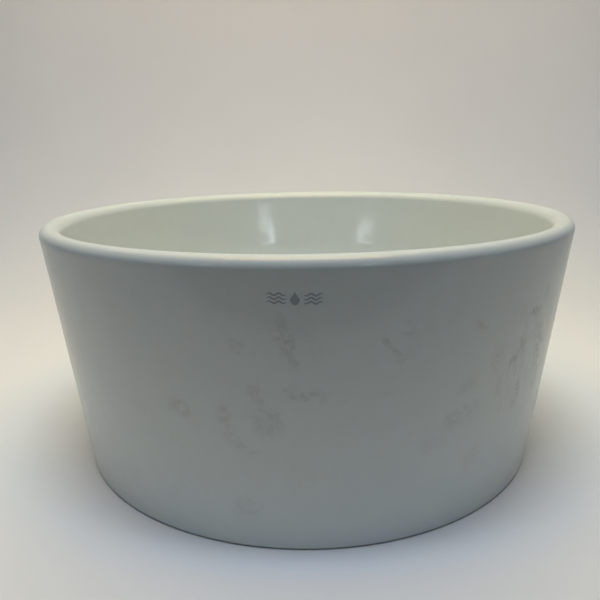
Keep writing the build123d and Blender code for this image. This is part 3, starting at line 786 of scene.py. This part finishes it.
# ------------------------------------------------------------------ nuts
def nut_mesh(name, af, z0, z1, bore, relief, segs=144, end_flat=0.6, rise=0.5, soft_top=True):
    """Hexagon nut: chamfered corners, and bore(z, a) for its threaded wall; relief is the countersink's radius at the faces."""
    n = 9
    face_r = af / 2 - end_flat
    loop = [(relief, z0)] + run((relief, z0), (face_r, z0), 5) + [(face_r, z0)]
    depth = (af / math.sqrt(3) - face_r) * rise
    for i in range(1, n + 1):
        t = i / n
        loop.append((face_r + 10.0, z0 + depth * t))
    mid = 6
    top = depth if soft_top else 0.01
    loop += [(face_r + 10.0, z0 + depth + (z1 - top - z0 - depth) * i / mid) for i in range(1, mid + 1)]
    if soft_top:
        for i in range(n - 1, 0, -1):
            loop.append((face_r + 10.0, z1 - depth * i / n))
    loop += [(face_r if soft_top else af / 2 * 0.99, z1)]
    loop += run(loop[-1], (relief, z1), 5) + [(relief, z1)]
    rows = max(12, int((z1 - z0) / 0.22))
    loop += [(0.001, z1 - (z1 - z0) * i / rows) for i in range(1, rows)]

    def shape(r, z, a):
        if r < 0.01:
            sink = max(relief - (z - z0), relief - (z1 - z))
            return max(bore(z, a), sink), z
        if r > face_r + 5:
            lim = face_r + (z - z0) / rise
            if soft_top:
                lim = min(lim, face_r + (z1 - z) / rise)
            return min(hex_radius(a, af), lim, af / math.sqrt(3) - 0.35), z
        if abs(z - z0) < 1e-6 or abs(z - z1) < 1e-6:
            return min(r, hex_radius(a, af)), z
        return r, z

    return lathe(name, loop, segs, 24.0, radial=shape)


def g_bore(z, a):
    return G_MAJOR - G_DEPTH * (1.0 - crest(z, a, G_PITCH)) + 0.10


stands_for(nut_mesh("backnut_hex", 50.0, 31.0, 40.0, g_bore, 21.5, segs=180), "backnut", CHROME, "basin")


def m8_bore(z, a):
    return 4.0 - 0.60 * (1.0 - crest(z, a, 1.25)) + 0.04


stands_for(nut_mesh("lock_nut_m8", 13.0, 69.5, 72.5, m8_bore, 4.3, segs=120, end_flat=0.5), "lock_nut", BRASS, "plug")

# ------------------------------------------------------------------ seals and washer
gasket = soften([(21.205, 60.0), (31.4, 60.0), (31.4, 61.5), (21.205, 61.5)], {0: 0.3, 1: 0.55, 2: 0.55, 3: 0.3}, 5)
stands_for(lathe("flange_gasket_ring", gasket, 144, 30.0), "flange_gasket", RUBBER, "basin")

taper = soften(
    [
        (21.105, 41.0), (30.0, 41.0), (30.0, 46.0), (27.9, 46.0), (27.6, 45.6), (27.0, 45.6), (26.7, 46.0), (25.3, 46.0),
        (25.0, 45.6), (24.4, 45.6), (24.1, 46.0), (22.6, 46.0), (22.0, 49.5), (21.105, 49.5),
    ],
    {1: 1.0, 2: 0.9, 12: 0.3, 11: 0.35}, 5,
)
stands_for(lathe("tapered_seal_ring", taper, 144, 30.0), "tapered_seal", RUBBER, "basin")

washer = soften([(21.205, 40.0), (31.0, 40.0), (31.0, 41.0), (21.205, 41.0)], {0: 0.15, 1: 0.3, 2: 0.3, 3: 0.15}, 4)
stands_for(lathe("slip_washer_ring", washer, 144, 30.0), "slip_washer", ACETAL, "basin")

# ------------------------------------------------------------------ cartridge
M16_PITCH, M16_DEPTH = 1.0, 0.60


def build_barrel():
    loop = [(6.0, 22.0)] + run((6.0, 22.0), (7.3, 22.0), 2) + [(7.3, 22.0)]
    rows = int((50.0 - 22.0) / (M16_PITCH / 8))
    loop += [(7.9, 22.0 + 28.0 * i / rows) for i in range(rows + 1)]
    loop += run((7.9, 50.0), (10.2, 50.0), 2) + [(10.2, 50.0), (10.5, 50.3)] + run((10.5, 50.3), (10.5, 52.7), 3)
    loop += arc((10.0, 52.7), (10.5, 52.7), (10.0, 53.2), 4) + run((10.0, 53.2), (8.6, 53.2), 2)
    loop += arc((8.6, 53.8), (8.6, 53.2), (8.0, 53.8), 3) + run((8.0, 53.8), (8.0, 59.2), 5)
    loop += arc((7.2, 59.2), (8.0, 59.2), (7.2, 60.0), 6) + run((7.2, 60.0), (4.5, 60.0), 3) + [(4.4, 60.0), (4.08, 59.7)]
    loop += run((4.08, 59.7), (4.08, 55.0), 5) + [(4.08, 55.0)] + run((4.08, 55.0), (6.0, 55.0), 2) + [(6.0, 55.0), (6.0, 54.9)]
    loop += run((6.0, 54.9), (6.0, 26.4), 12) + [(6.0, 26.4), (6.0, 26.3)] + run((6.0, 26.3), (6.0, 22.0), 4)
    out = [p for i, p in enumerate(loop) if math.dist(p, loop[i - 1]) > 1e-4]

    def shape(r, z, a):
        if abs(r - 7.9) < 0.01 and z <= 50.0:
            t = 8.0 - M16_DEPTH * (1.0 - crest(z, a, M16_PITCH))
            return min(t, 7.3 + (z - 22.0) * 1.0), z
        if r > 8.1 and 50.0 <= z <= 53.2:           # two spanner flats on the collar
            flat = 9.0 / max(abs(math.sin(a)), 1e-6)
            return max(min(r, flat), min(r, 8.05)), z
        if abs(r - 6.0) < 0.001 and 26.35 < z < 54.95:
            for k in range(4):                        # the four guide grooves
                d = abs((a - k * math.pi / 2 + math.pi) % (2 * math.pi) - math.pi)
                if d < 0.133:
                    return 6.6, z
        return r, z

    return lathe("cartridge_barrel_m16", out, 240, 30.0, radial=shape)


stands_for(build_barrel(), "cartridge_barrel", BRASS, "basin")


def build_spring():
    z0, z1, wire, coil, turns = 25.0, 45.1, 0.5, 4.2, 7.0
    rise = z1 - z0 - 2 * wire

    # dead end coils lie close, the active ones are evenly open
    steps = 400
    pitch = []
    for i in range(steps):
        t = (i + 0.5) / steps * turns
        e = min(t, turns - t)
        w = ease(e, 0.8, 1.2)
        pitch.append(1.12 + (4.0 - 1.12) * w)
    total = sum(pitch)
    cum = [0.0]
    for p in pitch:
        cum.append(cum[-1] + p / total)
    n, sides = int(turns * 40), 12
    verts, faces = [], []
    for i in range(n + 1):
        t = i / n
        k = t * steps
        j = min(steps - 1, int(k))
        h = cum[j] + (cum[j + 1] - cum[j]) * (k - j)
        z = z0 + wire + rise * h
        ang = 2 * math.pi * turns * t
        out = Vector((math.cos(ang), math.sin(ang), 0.0))
        centre = out * coil + Vector((0, 0, z))
        for s in range(sides):
            b = 2 * math.pi * s / sides
            p = centre + out * (wire * math.cos(b)) + Vector((0, 0, wire * math.sin(b)))
            p.z = min(z1, max(z0, p.z))                # the end coils are ground flat
            verts.append(tuple(p * MM))
    for i in range(n):
        for s in range(sides):
            q = (s + 1) % sides
            faces.append((i * sides + s, i * sides + q, (i + 1) * sides + q, (i + 1) * sides + s))
    faces.append(tuple(range(sides)))
    faces.append(tuple(n * sides + s for s in reversed(range(sides))))
    return new_mesh("return_spring_coil", verts, faces, 60.0)


spring = build_spring()
stands_for(spring, "return_spring", WIRE, "basin")
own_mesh(spring)

# ------------------------------------------------------------------ plug
def build_spindle():
    """Crown with ramp teeth, plain stem and an M8 thread at the top."""
    teeth, tooth = 8, 1.2
    loop = [(0.0, 46.8), (1.0, 46.8), (1.7, 46.8), (2.0, 47.1)] + run((2.0, 47.1), (2.0, 51.0), 4) + [(2.0, 51.0)]
    loop += run((2.0, 51.0), (3.4, 51.0), 3) + [(3.4, 51.0), (3.42, 49.8)] + run((3.42, 49.8), (5.68, 49.8), 4)
    loop += [(5.68, 49.8), (5.70, 51.0), (5.70, 51.4)] + run((5.70, 51.4), (5.70, 54.5), 4) + [(5.70, 54.5), (5.45, 54.8), (4.3, 54.8), (4.0, 55.1)]
    loop += run((4.0, 55.1), (4.0, 64.0), 6) + [(4.0, 64.0)]
    rows = int(12.2 / (1.25 / 9))
    loop += [(3.95, 64.0 + 12.2 * i / rows) for i in range(1, rows + 1)]
    loop += [(3.3, 77.0), (2.0, 77.0), (0.0, 77.0)]

    def shape(r, z, a):
        if abs(z - 49.8) < 1e-6 and r > 3.3:
            t = (a / (2 * math.pi) * teeth) % 1.0
            return r, 49.8 + tooth * min(1.0, max(0.0, t / 0.9 if t < 0.9 else (1.0 - t) / 0.1))
        if abs(r - 3.95) < 1e-6:
            f = ease(z, 64.0, 65.6)
            cut = 0.62 * (1.0 - crest(z, a, 1.25)) * f
            return min(4.0 - cut, 3.3 + (77.0 - z) * 1.0), z
        if abs(r - 5.70) < 1e-6 and 51.3 < z < 54.6:
            for k in range(4):                        # the keys that run in the barrel's grooves
                d = abs((a - k * math.pi / 2 + math.pi) % (2 * math.pi) - math.pi)
                if d < 0.105:
                    return 6.45, z
        return r, z

    return turned("spindle_m8", loop, 192, 30.0, radial=shape)


stands_for(build_spindle(), "spindle", STEEL, "plug")

carrier = soften(
    [
        (4.05, 72.5), (22.0, 72.5), (26.0, 72.5), (26.0, 75.5), (19.0, 75.5), (18.6, 75.1), (8.4, 75.1), (8.0, 75.5), (4.05, 75.5),
    ],
    {2: 0.4, 3: 0.4}, 4,
)
stands_for(lathe("cap_carrier_disc", carrier, 144, 30.0), "cap_carrier", BRASS, "plug")

seal = soften(
    [
        (22.5, 71.9), (23.6, 71.9), (24.0, 72.2), (25.2, 72.2), (25.6, 71.9), (27.6, 71.9), (27.6, 75.5), (26.02, 75.5),
        (26.02, 72.48), (22.5, 72.48),
    ],
    {0: 0.2, 5: 0.9, 6: 0.3, 9: 0.15}, 5,
)
stands_for(lathe("cap_seal_ring", seal, 144, 30.0), "cap_seal", SILICONE, "plug")


def build_cap():
    """Ceramic cap: shallow dome, soft edge, ground lower rim and a pocket for the carrier and seal."""
    cap_r, z0, edge, crown, rnd = 34.0, 73.2, 79.6, 2.4, 2.6
    loop = [(0.0, 77.6)] + run((0.0, 77.6), (5.2, 77.6), 2) + [(5.2, 77.6), (5.2, 75.5)]
    loop += run((5.2, 75.5), (28.2, 75.5), 8) + [(28.2, 75.5), (28.2, 74.0), (28.2, 73.5)]
    loop += arc((28.5, 73.5), (28.2, 73.5), (28.5, z0), 3) + run((28.5, z0), (33.0, z0), 4)
    loop += arc((33.0, z0 + 1.0), (33.0, z0), (34.0, z0 + 1.0), 6) + run((34.0, z0 + 1.0), (34.0, edge - rnd), 4)
    loop += arc((cap_r - rnd, edge - rnd), (cap_r, edge - rnd), (cap_r - rnd, edge), 12)
    rr = cap_r - rnd
    big = (rr * rr + crown * crown) / (2 * crown)
    for i in range(1, 33):
        r = rr * (1 - i / 33)
        loop.append((r, edge + crown - big + math.sqrt(big * big - r * r)))
    loop.append((0.0, edge + crown))

    def shape(r, z, a):
        if z > 76 and r > 20:
            r = r - 0.05 * (noise.noise(Vector((math.cos(a) * 1.7, math.sin(a) * 1.7, z / 9.0))) + 0.7)
        return r, z

    return turned("ceramic_cap_dome", loop, 192, 40.0, radial=shape)


stands_for(build_cap(), "ceramic_cap", CAP_GLAZE, "plug")

# ------------------------------------------------------------------ carried-over CAD nodes
# the two that are kept as they are, and the hidden ones that stay for collision
NODE_FINISH = {
    "spring_seat": BRASS, "cam_rotor": ACETAL,
    "ceramic_basin": bpy.data.materials["satin_glaze"], "waste_body": CHROME, "backnut": CHROME, "flange_gasket": RUBBER,
    "tapered_seal": RUBBER, "slip_washer": ACETAL, "cartridge_barrel": BRASS, "return_spring": WIRE, "spindle": STEEL,
    "lock_nut": BRASS, "cap_carrier": BRASS, "cap_seal": SILICONE, "ceramic_cap": CAP_GLAZE,
}
for node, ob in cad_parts.items():
    give(ob, NODE_FINISH[node])

# ------------------------------------------------------------------ stage
def backdrop():
    pts = []
    y_turn, rad, top, near = 0.45, 0.60, 2.6, -0.43
    n_floor = 16
    for i in range(n_floor + 1):
        pts.append((near + (y_turn - near) * i / n_floor, 0.0))
    for i in range(1, 25):
        a = math.pi / 2 * i / 24
        pts.append((y_turn + rad * math.sin(a), rad - rad * math.cos(a)))
    for i in range(1, 9):
        pts.append((y_turn + rad, rad + (top - rad) * i / 8))
    xs = [-2.6 + 5.2 * i / 12 for i in range(13)]
    verts = [(x, y, z - 0.0002) for (y, z) in pts for x in xs]
    faces = []
    w = len(xs)
    for i in range(len(pts) - 1):
        for j in range(w - 1):
            faces.append((i * w + j, i * w + j + 1, (i + 1) * w + j + 1, (i + 1) * w + j))
    ob = new_mesh("sweep", verts, faces, 180.0, closed=False)
    m = Mat("sweep_paper")
    soft = m.noise(2.2, 3.0, 0.5)
    tooth = m.noise(700.0, 2.0, 0.6)
    base = m.mix(m.remap(soft, 0.3, 0.7), (0.80, 0.775, 0.745), (0.77, 0.745, 0.715))
    m.set(Base_Color=base, Roughness=m.remap(tooth, 0.3, 0.7, 0.7, 0.85), IOR=1.4)
    m.set(Normal=m.bump(tooth, 0.15, 0.0001))
    give(ob, m.m)


backdrop()


def area(name, at, look, size, size_y, power, color, spread=180.0, oval=False):
    d = bpy.data.lights.new(name, "AREA")
    d.shape = "ELLIPSE" if oval else "RECTANGLE"
    d.size, d.size_y = size, size_y
    d.energy = power
    d.color = color
    d.spread = math.radians(spread)
    ob = bpy.data.objects.new(name, d)
    scene.collection.objects.link(ob)
    ob.location = at
    ob.rotation_mode = "QUATERNION"
    ob.rotation_quaternion = (Vector(look) - Vector(at)).to_track_quat("-Z", "Y")
    ob.visible_camera = False
    return ob


area("back_wash", (0.0, 0.45, 1.2), (0.0, 1.05, 0.3), 2.2, 0.2, 7.18, (1.0, 0.743, 0.398))
area("front_panel", (0.0, -0.25, 1.0), (0.0, -0.25, 0.0), 0.7, 0.2, 3.50, (1.0, 0.63, 0.24))
area("middle_panel", (0.0, 0.12, 1.0), (0.0, 0.12, 0.0), 0.9, 0.6, 1.21, (1.0, 0.88, 0.37), 100)
area("left_panel", (-0.60, 0.05, 0.95), (-0.60, 0.05, 0.0), 0.3, 0.8, 0.30, (1.0, 0.87, 0.70), 110)
SKY = area("sky_front", (0.0, -0.40, 2.4), (0.0, -0.40, 0.0), 1.2, 0.3, 28.8, (0.247, 0.575, 0.950))
SKY.visible_glossy = False          # overcast light: it has no edge to mirror
area("sky_near", (0.0, -0.95, 2.4), (0.0, -0.95, 0.0), 1.2, 0.4, 5.0, (0.44, 0.57, 0.90))
area("window_right", (0.880, -1.821, 0.565), (0.0, 0.1, 0.15), 0.32, 0.05, 0.66, (0.8, 0.92, 1.0), oval=True)
area("window_right_low", (0.750, -1.895, 0.504), (0.0, 0.1, 0.15), 0.12, 0.04, 0.58, (0.8, 0.92, 1.0), oval=True)
area("window_left", (-1.305, -1.567, 0.501), (0.0, 0.1, 0.15), 0.32, 0.05, 0.60, (0.8, 0.91, 1.0), oval=True)
area("window_left_low", (-1.180, -1.673, 0.469), (0.0, 0.1, 0.15), 0.14, 0.04, 0.36, (0.8, 0.91, 1.0), oval=True)

world = bpy.data.worlds.new("room")
scene.world = world
world.use_nodes = True
wn = world.node_tree
bg = wn.nodes["Background"]
bg.inputs["Color"].default_value = (0.60, 0.80, 1.0, 1.0)
bg.inputs["Strength"].default_value = 0.006
# past the sweep's edges there is plain pale paper to be seen, which lights nothing
surround = wn.nodes.new("ShaderNodeBackground")
surround.inputs["Color"].default_value = (0.52, 0.50, 0.475, 1.0)
surround.inputs["Strength"].default_value = 1.0
seen = wn.nodes.new("ShaderNodeLightPath")
pick = wn.nodes.new("ShaderNodeMixShader")
wn.links.new(seen.outputs["Is Camera Ray"], pick.inputs[0])
wn.links.new(bg.outputs[0], pick.inputs[1])
wn.links.new(surround.outputs[0], pick.inputs[2])
wn.links.new(pick.outputs[0], wn.nodes["World Output"].inputs["Surface"])

# ------------------------------------------------------------------ camera
YAW, PITCH, ROLL = -0.0116, 0.2629, -0.0169
fwd = Vector((math.sin(YAW) * math.cos(PITCH), math.cos(YAW) * math.cos(PITCH), -math.sin(PITCH)))
right = Vector((math.cos(YAW), -math.sin(YAW), 0.0))
up = right.cross(fwd)
r2 = math.cos(ROLL) * right + math.sin(ROLL) * up
u2 = -math.sin(ROLL) * right + math.cos(ROLL) * up
cam_data = bpy.data.cameras.new("camera")
cam_data.sensor_width = 36.0
cam_data.lens = 577.0 / 600.0 * 36.0
cam_data.clip_start, cam_data.clip_end = 0.02, 50.0
cam = bpy.data.objects.new("camera", cam_data)
scene.collection.objects.link(cam)
cam.matrix_world = Matrix(
    (
        (r2.x, u2.x, -fwd.x, 0.0),
        (r2.y, u2.y, -fwd.y, -0.47292),
        (r2.z, u2.z, -fwd.z, 0.23188),
        (0.0, 0.0, 0.0, 1.0),
    )
)
scene.camera = cam
